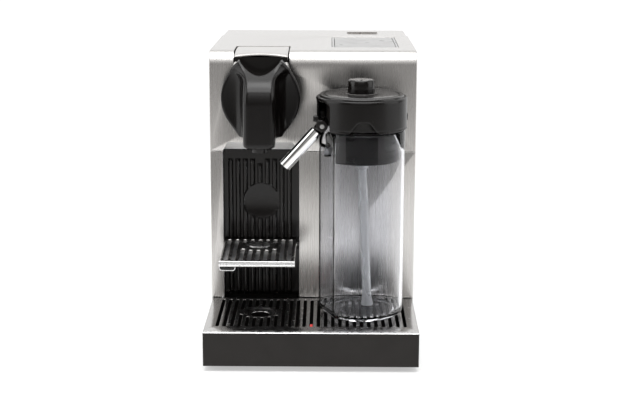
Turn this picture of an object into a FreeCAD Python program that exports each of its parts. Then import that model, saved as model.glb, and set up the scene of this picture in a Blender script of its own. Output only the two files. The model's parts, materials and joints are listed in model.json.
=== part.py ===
import FreeCAD, Part
import Sketcher
import math
import os

# Pod coffee machine with a milk carafe, in millimetres.
# +X to the right, the front faces -Y, +Z up, origin at the middle of the footprint on the table.

V = FreeCAD.Vector
doc = FreeCAD.newDocument("pod_coffee_machine")
sheet = doc.addObject("Spreadsheet::Sheet", "Dims")
row = [0]


class Q:
    """A driving dimension or a formula of them: its number and its expression."""

    def __init__(self, value, text):
        self.v = float(value)
        self.e = text

    def _two(self, other, sign, flip=False):
        a, b = (other, self) if flip else (self, other)
        av, ae = (a.v, a.e) if isinstance(a, Q) else (float(a), "(%.6f)" % a)
        bv, be = (b.v, b.e) if isinstance(b, Q) else (float(b), "(%.6f)" % b)
        value = {"+": av + bv, "-": av - bv, "*": av * bv, "/": av / bv if bv else 0.0}[sign]
        return Q(value, "(%s %s %s)" % (ae, sign, be))

    def __add__(self, o):
        return self._two(o, "+")

    def __radd__(self, o):
        return self._two(o, "+", True)

    def __sub__(self, o):
        return self._two(o, "-")

    def __rsub__(self, o):
        return self._two(o, "-", True)

    def __mul__(self, o):
        return self._two(o, "*")

    def __rmul__(self, o):
        return self._two(o, "*", True)

    def __truediv__(self, o):
        return self._two(o, "/")

    def __neg__(self):
        return self._two(-1.0, "*")


def dim(alias, value, note):
    row[0] += 1
    sheet.set("A%d" % row[0], alias)
    sheet.set("B%d" % row[0], "%.6f" % value)
    sheet.set("C%d" % row[0], note)
    sheet.setAlias("B%d" % row[0], alias)
    return Q(value, "Dims.%s" % alias)


# Driving dimensions
width = dim("width", 194, "overall width")
depth = dim("depth", 332, "overall depth")
height = dim("height", 274, "overall height")
sheet_t = dim("sheet_t", 1.2, "steel sheet thickness")
front_y = dim("front_y", -55, "front panel plane")
cover_end = dim("cover_end", 103.4, "rear edge of the steel cover")
bend_r = dim("bend_r", 11, "bend from front to top, outside")
seam_z = dim("seam_z", 179.5, "seam between upper cover and lower panels")
panel_z = dim("panel_z", 36.8, "bottom of the lower front panels")
bay_l = dim("bay_l", -88.2, "left edge of the brew bay")
bay_r = dim("bay_r", -12.7, "right edge of the brew bay")
bay_y = dim("bay_y", -44, "back plane of the brew bay")
rib_pitch = dim("rib_pitch", 7, "pitch of the bay ribs")
rib_r = dim("rib_r", 2.7, "radius of the bay ribs")
head_x = dim("head_x", -48, "brew head centre, x")
head_z = dim("head_z", 233, "lever disc centre, z")
disc_r = dim("disc_r", 37, "lever disc radius")
hinge_y = dim("hinge_y", -22, "lever axis, y")
hinge_z = dim("hinge_z", 261, "lever axis, z")
hub_r = dim("hub_r", 10.5, "lever hub radius")
pin_r = dim("pin_r", 4, "lever pin radius")
run_gap = dim("run_gap", 0.05, "running clearance of pins, radial")
cage_z = dim("cage_z", 222, "capsule cage axis, z")
cage_r = dim("cage_r", 18.5, "capsule cage radius")
cage_go = dim("cage_go", 26, "capsule cage travel")
lever_deg = dim("lever_deg", 80, "lever travel in degrees")
trun_y = dim("trun_y", -42, "cage trunnion at rest, y")
trun_z = dim("trun_z", 230, "cage trunnion, z")
trun_r = dim("trun_r", 2.5, "cage trunnion radius")
tray_w = dim("tray_w", 192, "drip tray width")
tray_z = dim("tray_z", 5, "underside of the drip tray")
tray_top = dim("tray_top", 35.4, "rim of the drip tray")
tray_wall = dim("tray_wall", 2.5, "drip tray wall")
grid_t = dim("grid_t", 1.0, "drip grid sheet")
slot_pitch = dim("slot_pitch", 6.5, "drip grid slot pitch")
slot_w = dim("slot_w", 3.0, "drip grid slot width")
cup_z = dim("cup_z", 91, "cup support top")
cup_y = dim("cup_y", -126.5, "cup support front")
cup_axis_y = dim("cup_axis_y", -52.5, "cup support hinge, y")
cup_axis_z = dim("cup_axis_z", 88, "cup support hinge, z")
jug_x = dim("jug_x", 45.3, "milk container centre, x")
jug_y = dim("jug_y", -100, "milk container centre, y")
jug_a = dim("jug_a", 39, "milk container half width")
jug_b = dim("jug_b", 41.5, "milk container half depth")
jug_wall = dim("jug_wall", 2.2, "milk container wall")
jug_z = dim("jug_z", 38, "milk container underside")
jug_top = dim("jug_top", 208.5, "milk container rim")
lid_z = dim("lid_z", 209.5, "carafe lid underside")
lid_top_z = dim("lid_top_z", 239, "carafe lid top")
lid_a = dim("lid_a", 41.2, "carafe lid half width")
lid_b = dim("lid_b", 43, "carafe lid half depth")
steam_x = dim("steam_x", 45, "steam nozzle, x")
steam_z = dim("steam_z", 222, "steam nozzle, z")
steam_r = dim("steam_r", 5.7, "steam nozzle radius")
spout_x = dim("spout_x", 9, "spout pivot, x")
spout_y = dim("spout_y", -106, "spout pivot, y")
spout_z = dim("spout_z", 213, "spout pivot, z")
spout_len = dim("spout_len", 50.8, "spout length from its pivot")
spout_od = dim("spout_od", 11.4, "spout tube diameter")
spout_deg = dim("spout_deg", 48, "spout angle below level")
knob_r = dim("knob_r", 12.35, "froth knob radius")
tank_y = dim("tank_y", 104, "water tank front")
tank_z = dim("tank_z", 24, "water tank underside")
tank_top = dim("tank_top", 260.6, "water tank rim")
tank_wall = dim("tank_wall", 2.2, "water tank wall")
foot_h = dim("foot_h", 2.6, "height of the rubber feet")
base_t = dim("base_t", 1.8, "base plate thickness")

nodes = {}
count = [0]


def name(prefix):
    count[0] += 1
    return "%s_%03d" % (prefix, count[0])


def bind(obj, prop, q):
    if isinstance(q, Q):
        obj.setExpression(prop, q.e)
    elif "." in prop:
        obj.setExpression(prop, "%.6f" % q)
    else:
        setattr(obj, prop, q)


def place(obj, x, y, z, rot=None):
    def num(q):
        return q.v if isinstance(q, Q) else float(q)
    obj.Placement = FreeCAD.Placement(V(num(x), num(y), num(z)), rot or FreeCAD.Rotation())
    for axis, q in (("x", x), ("y", y), ("z", z)):
        if isinstance(q, Q):
            obj.setExpression("Placement.Base.%s" % axis, q.e)


def box(x0, x1, y0, y1, z0, z1):
    o = doc.addObject("Part::Box", name("box"))
    bind(o, "Length", x1 - x0)
    bind(o, "Width", y1 - y0)
    bind(o, "Height", z1 - z0)
    place(o, x0, y0, z0)
    return o


TURN = {"x": FreeCAD.Rotation(V(0, 1, 0), 90), "y": FreeCAD.Rotation(V(1, 0, 0), -90), "z": FreeCAD.Rotation()}


def cyl(axis, a, b, lo, hi, r):
    """Round bar along an axis: a and b are its centre in the other two axes, in x, y, z order."""
    o = doc.addObject("Part::Cylinder", name("cyl"))
    bind(o, "Radius", r)
    bind(o, "Height", hi - lo)
    at = {"x": (lo, a, b), "y": (a, lo, b), "z": (a, b, lo)}[axis]
    place(o, at[0], at[1], at[2], TURN[axis])
    return o


def cone(axis, a, b, lo, hi, r0, r1):
    o = doc.addObject("Part::Cone", name("cone"))
    bind(o, "Radius1", r0)
    bind(o, "Radius2", r1)
    bind(o, "Height", hi - lo)
    at = {"x": (lo, a, b), "y": (a, lo, b), "z": (a, b, lo)}[axis]
    place(o, at[0], at[1], at[2], TURN[axis])
    return o


def fuse(*parts):
    o = doc.addObject("Part::MultiFuse", name("fuse"))
    o.Shapes = list(parts)
    return o


def cut(base, *tools):
    o = doc.addObject("Part::Cut", name("cut"))
    o.Base = base
    o.Tool = tools[0] if len(tools) == 1 else fuse(*tools)
    return o


def common(a, b):
    o = doc.addObject("Part::Common", name("common"))
    o.Base = a
    o.Tool = b
    return o


def group(*parts):
    o = doc.addObject("Part::Compound", name("group"))
    o.Links = list(parts)
    return o


def node(label, obj):
    obj.Label = label
    nodes[label] = obj
    return obj


def num(q):
    return q.v if isinstance(q, Q) else float(q)


def profile(plane, points, lo, hi, rounds=None):
    """Pad of a closed straight-sided outline. Every corner is held by two bound distances."""
    body = doc.addObject("PartDesign::Body", name("body"))
    sk = body.newObject("Sketcher::SketchObject", name("sketch"))
    role = {"xy": "XY_Plane", "xz": "XZ_Plane", "yz": "YZ_Plane"}[plane]
    sk.AttachmentSupport = [([f for f in body.Origin.OriginFeatures if f.Role == role][0], "")]
    sk.MapMode = "FlatFace"
    n = len(points)
    for i in range(n):
        a, b = points[i], points[(i + 1) % n]
        sk.addGeometry(Part.LineSegment(V(num(a[0]), num(a[1]), 0), V(num(b[0]), num(b[1]), 0)), False)
    for i in range(n):
        sk.addConstraint(Sketcher.Constraint("Coincident", i, 2, (i + 1) % n, 1))
    for i in range(n):
        for kind, q in (("DistanceX", points[i][0]), ("DistanceY", points[i][1])):
            c = sk.addConstraint(Sketcher.Constraint(kind, -1, 1, i, 1, num(q)))
            if isinstance(q, Q):
                sk.setExpression("Constraints[%d]" % c, q.e)
    pad = body.newObject("PartDesign::Pad", name("pad"))
    pad.Profile = sk
    bind(pad, "Length", hi - lo)
    if plane == "xy":
        place(body, 0, 0, lo)
    elif plane == "xz":
        place(body, 0, hi, 0)
    else:
        place(body, lo, 0, 0)
    doc.recompute()
    if rounds:
        fil = body.newObject("PartDesign::Fillet", name("fillet"))
        edges = []
        for i, e in enumerate(pad.Shape.Edges):
            mid = e.valueAt((e.FirstParameter + e.LastParameter) / 2)
            if rounds[0](mid):
                edges.append("Edge%d" % (i + 1))
        fil.Base = (pad, edges)
        bind(fil, "Radius", rounds[1])
        body.Tip = fil
    return body


def oval(cx, cy, a, b, z0, z1, a1=None, b1=None):
    """Oval drum, straight or tapering: an ellipse has no primitive of its own."""
    def ring(ra, rb, z):
        if ra >= rb:
            e = Part.Ellipse(V(num(cx) + ra, num(cy), z), V(num(cx), num(cy) + rb, z), V(num(cx), num(cy), z))
        else:
            e = Part.Ellipse(V(num(cx), num(cy) + rb, z), V(num(cx) - ra, num(cy), z), V(num(cx), num(cy), z))
        return Part.Wire([e.toShape()])
    o = doc.addObject("Part::Feature", name("oval"))
    lowr = ring(num(a), num(b), 0)
    if a1 is None:
        o.Shape = Part.Face(lowr).extrude(V(0, 0, num(z1) - num(z0)))
    else:
        o.Shape = Part.makeLoft([lowr, ring(num(a1), num(b1), num(z1) - num(z0))], True)
    place(o, 0, 0, z0)
    return o


def tube(points, r, bend):
    """Hose along straight runs joined by tangent arcs."""
    pts = [V(*p) for p in points]
    edges, start = [], pts[0]
    for i in range(1, len(pts) - 1):
        u = (pts[i - 1] - pts[i]).normalize()
        w = (pts[i + 1] - pts[i]).normalize()
        half = u.getAngle(w) / 2
        t = bend / math.tan(half)
        a, b = pts[i] + u * t, pts[i] + w * t
        m = pts[i] + (u + w).normalize() * (bend / math.sin(half) - bend)
        edges += [Part.LineSegment(start, a).toShape(), Part.Arc(a, m, b).toShape()]
        start = b
    edges.append(Part.LineSegment(start, pts[-1]).toShape())
    path = Part.Wire(edges)
    ring = Part.Wire([Part.Circle(pts[0], (pts[1] - pts[0]).normalize(), r).toShape()])
    o = doc.addObject("Part::Feature", name("tube"))
    o.Shape = path.makePipeShell([ring], True, False)
    return o


half_w = width / 2
rear_y = depth / 2

# ---------------------------------------------------------------- steel casing
# Upper cover: front wall and top wall in one bent sheet, with the brew-head hole, the lever cut-out,
# the capsule scoop in its lower edge, the window of the touch panel and the hole of the steam nozzle.
sheet_in = front_y + sheet_t
cover = profile("yz", [(front_y, seam_z + 0.3), (front_y, height), (cover_end, height), (cover_end, height - sheet_t),
                       (sheet_in, height - sheet_t), (sheet_in, seam_z + 0.3)], -half_w, half_w)
doc.recompute()
bend = doc.addObject("Part::Fillet", "cover_bend")
bend.Base = cover
picks = []
for i, e in enumerate(cover.Shape.Edges):
    c = e.CenterOfMass
    if e.Length > 150 and abs(c.y - front_y.v) < 0.01 and abs(c.z - height.v) < 0.01:
        picks.append((i + 1, bend_r.v, bend_r.v))
    if e.Length > 150 and abs(c.y - sheet_in.v) < 0.01 and abs(c.z - (height.v - sheet_t.v)) < 0.01:
        picks.append((i + 1, bend_r.v - sheet_t.v, bend_r.v - sheet_t.v))
bend.Edges = picks
scoop = profile("xz", [(bay_l, seam_z - 2), (bay_r, seam_z - 2), (bay_r, seam_z), (-19.5, 188), (-82, 188), (bay_l, seam_z)],
                front_y - 5, front_y + 10)
node("top_front_cover", cut(bend, cyl("y", head_x, head_z, front_y - 5, front_y + 10, 34.5),
                            box(-74, -22, front_y - 5, -8, 250, height + 5), scoop,
                            box(17.5, 82, -17, 88, height - 10, height + 5),
                            cyl("y", steam_x, steam_z, front_y - 5, front_y + 10, steam_r + 0.5)))

# The slope behind the scoop that guides used capsules back into the bay.
node("capsule_scoop", profile("yz", [(sheet_in + 0.1, 188.6), (sheet_in + 0.1, 189.8), (-46.0, 181.2), (-46.0, 180.0)],
                              bay_l + 1, bay_r - 1))

# Side panels, with the corner under the bend cut off.
side = [(sheet_in + 0.1, 5), (cover_end, 5), (cover_end, height - sheet_t - 0.1), (front_y + bend_r, height - sheet_t - 0.1),
        (sheet_in + 0.1, height - bend_r)]
node("left_side_panel", profile("yz", side, -half_w, -half_w + sheet_t))
node("right_side_panel", profile("yz", side, half_w - sheet_t, half_w))

# Lower front panels, each with a flange that lines the side of the brew bay.
node("lower_front_panel_left", profile("xy", [(-half_w, front_y), (bay_l, front_y), (bay_l, bay_y), (bay_l - sheet_t, bay_y),
                                              (bay_l - sheet_t, sheet_in), (-half_w, sheet_in)], panel_z, seam_z - 0.3))
node("lower_front_panel_right", profile("xy", [(half_w, front_y), (half_w, sheet_in), (bay_r + sheet_t, sheet_in),
                                               (bay_r + sheet_t, bay_y), (bay_r, bay_y), (bay_r, front_y)],
                                        panel_z, seam_z - 0.3))


def ribs(z0, z1):
    out = []
    for i in range(9):
        out.append(cyl("z", (bay_l + bay_r) / 2 + rib_pitch * (i - 4), bay_y - 0.3, z0, z1, rib_r))
    return out


# Fixed header of the bay: the tops of the ribs.
node("bay_header", fuse(box(bay_l + 0.4, bay_r - 0.4, bay_y, bay_y + 2, 164.4, seam_z - 0.4), *ribs(164.4, 170.5)))

# ---------------------------------------------------------------- structure
node("base_plate", cut(box(-95, 95, -150, rear_y - 1, foot_h, foot_h + base_t),
                       *[cyl("z", x, y, 0, 10, 1.5) for x in (-85, 85) for y in (112, 158)]))
node("rubber_feet", group(*[cyl("z", x, y, 0, foot_h, 9) for x in (-80, 80) for y in (-135, 135)]))
node("front_sill", group(box(bay_r + 2, 95, front_y + 0.5, front_y + 2.5, foot_h + base_t, panel_z - 0.2),
                         box(-95, bay_l - 0.8, front_y + 0.5, front_y + 2.5, foot_h + base_t, panel_z - 0.2)))
node("rear_bulkhead", box(-95.6, 95.6, cover_end - 3, cover_end - 0.4, foot_h + base_t, height - sheet_t - 0.2))
node("chassis_frame", cut(fuse(box(-11, -8.5, -42, 100, foot_h + base_t, 186), box(-95.6, 95.6, -42, 100, 186, 189)),
                          box(-76, -20, -43, 20, 185, 190), cyl("z", 60, 85, 185, 190, 4.2)))

# ---------------------------------------------------------------- brew head
walls = fuse(box(-76, -73, -50, 20, 189, 268), box(-23, -20, -50, 20, 189, 268), box(-76, -20, 17, 20, 189, 268))
node("brew_housing", cut(walls, cyl("x", hinge_y, hinge_z, -77, -19, pin_r)))
node("lever_pivot_pin", cyl("x", hinge_y, hinge_z, -76, -20, pin_r))
arms = [box(-70, -66, -62, -46, 208, 214), box(-30, -26, -62, -46, 208, 214),
        box(-73, -66, -50, -46, 208, 214), box(-30, -23, -50, -46, 208, 214)]
node("brew_head", cut(fuse(cyl("y", head_x, cage_z, -65.5, -59, 19), box(-70, -26, -62, -59, 206, 214), *arms), box(-80, -10, -70, -50, 240.5, 270),
                      *[cyl("y", head_x + 7 * math.cos(t * 0.7854), cage_z + 7 * math.sin(t * 0.7854), -61, -58, 0.9)
                        for t in range(8)]))
outlet = fuse(box(-56, -40, -95, -58.5, 187, 194.5), box(-56, -40, -65.5, -58.5, 194, 203.2),
              cone("z", head_x, -92.5, 185.5, 194.5, 7.2, 8))
node("coffee_outlet", cut(outlet, cyl("z", head_x - 3, -92.5, 185, 191, 2), cyl("z", head_x + 3, -92.5, 185, 191, 2),
                          cyl("y", head_x, cage_z, -66, -58, 19), box(-73, -23, -62, -58, 200, 214)))

# ---------------------------------------------------------------- lever
# Cam cheeks: the slot follows the cage trunnion, which moves straight back in step with the lever's angle.
slot_pts = []
for k in range(25):
    th = math.radians(lever_deg.v * k / 24.0)
    dy = trun_y.v - hinge_y.v + cage_go.v * k / 24.0
    dz = trun_z.v - hinge_z.v
    slot_pts.append((dy * math.cos(th) - dz * math.sin(th), dy * math.sin(th) + dz * math.cos(th)))


def cam(r, x0, x1, extra):
    """Union of the discs of one radius along the slot curve, as one outline: offset points on both sides."""
    left, right = [], []
    n = len(slot_pts)
    for k in range(n):
        a = slot_pts[max(k - 1, 0)]
        b = slot_pts[min(k + 1, n - 1)]
        tx, ty = b[0] - a[0], b[1] - a[1]
        d = math.hypot(tx, ty)
        nx, ny = -ty / d, tx / d
        p = slot_pts[k]
        left.append((p[0] + nx * r, p[1] + ny * r))
        right.append((p[0] - nx * r, p[1] - ny * r))
        if k == 0:
            first = (-tx / d, -ty / d)
        last = (tx / d, ty / d)
    p0, p1 = slot_pts[0], slot_pts[-1]
    ends = []
    for k in range(1, 8):
        t = math.pi * k / 8
        base = math.atan2(right[0][1] - p0[1], right[0][0] - p0[0])
        ends.append((p0[0] + r * math.cos(base - t), p0[1] + r * math.sin(base - t)))
    caps = []
    for k in range(1, 8):
        t = math.pi * k / 8
        base = math.atan2(left[-1][1] - p1[1], left[-1][0] - p1[0])
        caps.append((p1[0] + r * math.cos(base - t), p1[1] + r * math.sin(base - t)))
    loop = left + caps + right[::-1] + ends
    pts = [V(0, hinge_y.v + y, hinge_z.v + z) for y, z in loop]
    face = Part.Face(Part.makePolygon(pts + [pts[0]]))
    o = doc.addObject("Part::Feature", name("cam"))
    o.Shape = face.extrude(V(x1 - x0, 0, 0))
    place(o, x0, 0, 0)
    return o


cheeks = []
for x0, x1 in ((-71.5, -68.5), (-27.5, -24.5)):
    cheeks.append(cut(fuse(cam(5.6, x0, x1, 0), box(x0, x1, -33, -11, 229, 261)), cam(trun_r.v + 0.5, x0 - 1, x1 + 1, 0)))
arm = fuse(cyl("x", hinge_y, hinge_z, -72.5, -23.5, hub_r), box(-72.5, -23.5, -66, hinge_y, 251, 269.5))
node("lever_arm", cut(fuse(arm, *cheeks), cyl("x", hinge_y, hinge_z, -80, -10, pin_r + run_gap)))
face = fuse(cyl("y", head_x, head_z, -88, -66, disc_r), box(-63.2, -34.2, -110, -88, 196, 264),
            box(-63.2, -34.2, -110, -101, 190, 196))
node("lever_face", cut(face, box(-90, -63.2, -89, -74, 215, 251), box(-34.2, -5, -89, -74, 215, 251)))
node("lever_cover", fuse(box(-73, -23, -64, -10, 271.6, 273.8), box(-70, -62, -60, -50, 269.5, 271.6),
                         box(-34, -26, -60, -50, 269.5, 271.6)))

# ---------------------------------------------------------------- capsule cage
cage = fuse(cyl("y", head_x, cage_z, -58.5, -28, cage_r), cyl("x", trun_y, trun_z, -72, -24, trun_r))
node("capsule_cage", cut(cage, cone("y", head_x, cage_z, -58.6, -31, 15.6, 12)))

# ---------------------------------------------------------------- brew system inside
node("touch_panel", fuse(box(17.7, 81.8, -16.8, 87.8, height - 3, height - 0.3),
                         *[cyl("z", x, y, 265.6, height - 3, 3) for x in (25, 75) for y in (-8, 79)]))
node("control_board", box(20, 80, -14, 85, 264, 265.6))
node("pump", fuse(cyl("y", 50, 40, -30, 30, 21), cyl("y", 50, 40, -42, 72, 8)))
node("pump_mounts", group(cut(box(36, 64, -40, -34, foot_h + base_t, 54), cyl("y", 50, 40, -50, 80, 8)),
                          cut(box(36, 64, 34, 40, foot_h + base_t, 54), cyl("y", 50, 40, -50, 80, 8))))
node("thermoblock", fuse(box(2, 70, -35, 60, 189, 238), cyl("z", 36, 12, 238, 244, 30)))
node("steam_valve", fuse(box(70, 92, 0, 40, 192, 222), cyl("z", 81, 20, 222, 236, 8)))
node("steam_nozzle", cut(cyl("y", steam_x, steam_z, -79, -35, steam_r), cyl("y", steam_x, steam_z, -80, -34, 2.2)))
node("nozzle_collar", cut(cyl("y", steam_x, steam_z, -56, front_y, 11), cyl("y", steam_x, steam_z, -60, -50, steam_r)))
node("flow_meter", fuse(cyl("z", 75, 88, foot_h + base_t, 22, 10.5), cyl("z", 75, 88, 22, 30, 3.4)))
node("water_hoses", group(tube([(50, 72, 40), (50, 85, 40), (60, 85, 55), (60, 85, 197), (60, 60, 197)], 3, 5),
                          tube([(75, 88, 30), (75, 88, 50), (88, 88, 70), (88, 88, 120)], 2.4, 6)))
node("main_board", box(-8.5, -6.9, 0, 90, 60, 170))

# ---------------------------------------------------------------- water tank plinth at the rear
screws = [(x, y) for x in (-85, 85) for y in (112, 158)]
plinth = box(-93, 93, cover_end, rear_y - 1, foot_h + base_t, 23.4)
node("tank_plinth", cut(plinth, cyl("z", 0, 134, 12, 30, 13), cyl("y", -70, 13.5, 140, 170, 6),
                        *[cyl("z", x, y, 0, 16, 1.5) for x, y in screws]))
node("tank_seat_seal", cut(cyl("z", 0, 134, 12, 14, 13), cyl("z", 0, 134, 11, 15, 8.5)))
node("cord_gland", cut(cyl("y", -70, 13.5, 140, rear_y, 6), cyl("y", -70, 13.5, 139, 167, 3.6)))
node("case_screws", group(*[fuse(cyl("z", x, y, 1.2, foot_h, 3.2), cyl("z", x, y, foot_h, 16, 1.5)) for x, y in screws]))

# ---------------------------------------------------------------- drip tray unit
hw = tray_w / 2
shell = cut(box(-hw, hw, -rear_y, -56, tray_z, tray_top),
            box(-hw + tray_wall, hw - tray_wall, -rear_y + tray_wall, -56 - tray_wall, tray_z + tray_wall, tray_top + 5))
node("drip_tray", fuse(shell, box(-87.5, -13.5, -56, 55, tray_z, 9)))

# Drip grid: a steel sheet with a row of slots and a round dish under the coffee outlet.
grid = profile("xy", [(-hw + 0.2, -rear_y + 0.3), (hw - 0.2, -rear_y + 0.3), (hw - 0.2, -57.2), (-hw + 0.2, -57.2)],
               tray_top, tray_top + grid_t)
slots = [box(slot_pitch * (i - 13) - slot_w / 2, slot_pitch * (i - 13) + slot_w / 2, -148, -63, tray_top - 1, tray_top + 3)
         for i in range(27)]
node("drip_grid", cut(grid, cyl("z", head_x, -103, tray_top - 1, tray_top + 3, 8.4), *slots))

ears = [cut(box(x0, x1, -56, bay_y + 0.5, 84, 92), cyl("x", cup_axis_y, cup_axis_z, -90, -10, 1.55))
        for x0, x1 in ((-87.2, -84.6), (-14.9, -13.3))]
node("bay_panel", fuse(box(bay_l + 0.6, bay_r - 0.6, bay_y, bay_y + 3.2, 36.8, 163.6), *(ribs(36.8, 163.6) + ears)))
node("capsule_bin", cut(box(-86, -14, -40.7, 52, 9, 160), box(-84, -16, -38.7, 50, 11, 170)))

# ---------------------------------------------------------------- folding cup support
plate = box(-84, -15.4, cup_y + 1, -49.5, 85.5, 90.4)
cut_slots = [box(-81 + 7 * i, -76.6 + 7 * i, -120, -58, 86.9, 95) for i in range(9)]
node("cup_support", cut(plate, cyl("x", cup_axis_y, cup_axis_z, -90, -10, 1.5), *cut_slots))
node("cup_support_trim", box(-84, -15.4, cup_y, cup_y + 1, cup_z - 6.3, cup_z))
node("cup_support_pins", group(cyl("x", cup_axis_y, cup_axis_z, -87, -78, 1.5), cyl("x", cup_axis_y, cup_axis_z, -21, -13.5, 1.5)))

# ---------------------------------------------------------------- float
node("tray_float", fuse(box(-12, 12, -152, -128, 12, 20), box(-1.2, 1.2, -147.4, -139, 20, 35.9)))

# ---------------------------------------------------------------- milk carafe
jug = cut(oval(jug_x, jug_y, jug_a, jug_b, jug_z, jug_top),
          oval(jug_x, jug_y, jug_a - jug_wall, jug_b - jug_wall, jug_z + 4, jug_top + 5))
node("milk_container", cut(jug, box(-5, 19, -114.4, -97.6, 196, 215)))

lid = cut(oval(jug_x - 0.8, jug_y, lid_a, lid_b, lid_z, lid_top_z),
          oval(jug_x - 0.8, jug_y, lid_a - 1.8, lid_b - 1.8, lid_z - 1, lid_top_z - 3))
sleeve = cyl("y", steam_x, steam_z, -84, -58.5, 9)
bosses = [box(4.2, 12.6, -117, -113.4, 209.5, 216.6), box(4.2, 12.6, -98.6, -95, 209.5, 216.6)]
node("lid_body", cut(fuse(lid, sleeve, *bosses), cyl("y", spout_x, spout_z, -117, -95, 2), cyl("y", steam_x, steam_z, -82, -50, steam_r + 0.35),
                     cyl("z", 44, jug_y, 225, 245, 4.1), box(-5, 20.5, -113.4, -98.6, 205, 226),
                     box(78, 90, -104.4, -91.6, 216.1, 224.4), box(-5, 13, -88.4, -77.6, 216.1, 224.4)))
node("lid_top", cut(oval(jug_x - 1, jug_y, 38, 41.6, lid_top_z, lid_top_z + 1.8), cyl("z", 44, jug_y, 225, 245, 4.1)))
plug = common(oval(jug_x, jug_y, jug_a - 2.9, jug_b - 2.9, 181, lid_z), box(24, 95, -150, -50, 180, 215))
node("lid_plug", cut(plug, cyl("z", 44, jug_y, 200, 245, 5)))
node("lid_seal", cut(common(oval(jug_x, jug_y, jug_a - 2.35, jug_b - 2.35, 188, 190.5), box(24, 95, -150, -50, 180, 215)),
                     oval(jug_x, jug_y, jug_a - 2.9, jug_b - 2.9, 187, 192)))
tilt = FreeCAD.Rotation(V(0, 0, 1), V(6, 0, -137).normalize())
suction = doc.addObject("Part::Cylinder", "suction")
suction.Radius = 4.1
suction.Height = 136
suction.Placement = FreeCAD.Placement(V(45.5, -98, 179.5), tilt)
node("suction_tube", cut(fuse(suction, cyl("z", 45.5, -98, 172, 181, 6)), box(30, 60, -110, -90, 30, 43.2)))
node("froth_nozzle", fuse(cone("z", 14.2, -106, 184, 202, 1.8, 3.4), box(11.5, 24, -108.5, -103.5, 202, 205)))
node("spout_pin", cyl("y", spout_x, spout_z, -117, -95, 2))

# ---------------------------------------------------------------- milk spout
ang = math.radians(spout_deg.v)
spout_turn = FreeCAD.Rotation(V(0, 0, 1), V(-math.cos(ang), 0, -math.sin(ang)))


def along(r, lo, hi):
    o = doc.addObject("Part::Cylinder", name("spout"))
    bind(o, "Radius", r)
    bind(o, "Height", hi - lo)
    at = V(spout_x.v - math.cos(ang) * num(lo), spout_y.v, spout_z.v - math.sin(ang) * num(lo))
    o.Placement = FreeCAD.Placement(at, spout_turn)
    return o


node("spout_hub", cut(fuse(cyl("y", spout_x, spout_z, -112.9, -99.1, 6), along(5.2, 0, 9)),
                      cyl("y", spout_x, spout_z, -120, -90, 2 + run_gap)))
node("spout_tube", cut(along(spout_od / 2, 9, spout_len), along(spout_od / 2 - 1.1, 12, spout_len + 5)))

# ---------------------------------------------------------------- carafe knob and buttons
node("froth_knob", fuse(cyl("z", 44, jug_y, 241.2, 254, knob_r), cyl("z", 44, jug_y, 226, 242, 4 + 0.05)))
node("release_button_right", box(79.5, 86.2, -104, -92, 216.5, 224))
node("release_button_left", box(4.8, 11.5, -88, -78, 216.5, 224))

# ---------------------------------------------------------------- water tank
tank = cut(box(-94, 94, tank_y, rear_y - 0.5, tank_z, tank_top),
           box(-94 + tank_wall, 94 - tank_wall, tank_y + tank_wall, rear_y - 0.5 - tank_wall, tank_z + tank_wall, tank_top + 5))
tank_ears = [cut(box(x0, x1, 160, rear_y - 0.5, tank_top - 1, 271.5), cyl("x", 163, 268.5, -90, 90, 1.5))
             for x0, x1 in ((-64, -59), (59, 64))]
node("water_tank", cut(fuse(tank, *tank_ears), cyl("z", 0, 134, 20, 30, 5)))
node("tank_valve", cut(cyl("z", 0, 134, 15, tank_z, 8), cyl("z", 0, 134, 14, 40, 3)))
node("tank_lid_pin", cyl("x", 163, 268.5, -64, 64, 1.5))

# Lid of the tank: a shallow tray turned over, with a finger well and a bored bar for the hinge pin.
lid_shell = cut(box(-95, 95, cover_end + 0.4, rear_y, height - 12, height),
                box(-93, 93, cover_end + 2.4, 159, tank_top - 1, height - 2.5))
well = doc.addObject("Part::Cylinder", "finger_well")
well.Radius = 30
well.Height = 30
well.Placement = FreeCAD.Placement(V(50, 117, height.v + 24.5), FreeCAD.Rotation(V(1, 0, 0), -90))
lid_cuts = [cyl("x", 163, 268.5, -90, 90, 1.55), box(-64.6, -58.4, 158.6, 170, 255, 273), box(58.4, 64.6, 158.6, 170, 255, 273)]
node("tank_lid", cut(fuse(lid_shell, box(30, 70, 112, 152, height - 9, height - 2)), common(well, box(34, 66, 118, 147, 260, 280)),
                     *lid_cuts))

# ---------------------------------------------------------------- check and write
doc.recompute()
for o in doc.Objects:
    if "Invalid" in o.State or "Error" in o.State:
        raise RuntimeError("failed: %s %s %s" % (o.Name, o.Label, o.State))
for label, o in nodes.items():
    s = o.Shape
    if s.isNull() or not s.isValid() or not s.Solids:
        raise RuntimeError("bad shape: %s" % label)

os.makedirs("parts", exist_ok=True)
for label, o in nodes.items():
    o.Shape.exportStep("parts/%s.step" % label)
    print(label, len(o.Shape.Solids), round(o.Shape.Volume / 1000.0, 2))
print(len(nodes), "nodes")
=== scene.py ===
import bpy, bmesh, json, math
import numpy as np
from mathutils import Matrix, Vector


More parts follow.
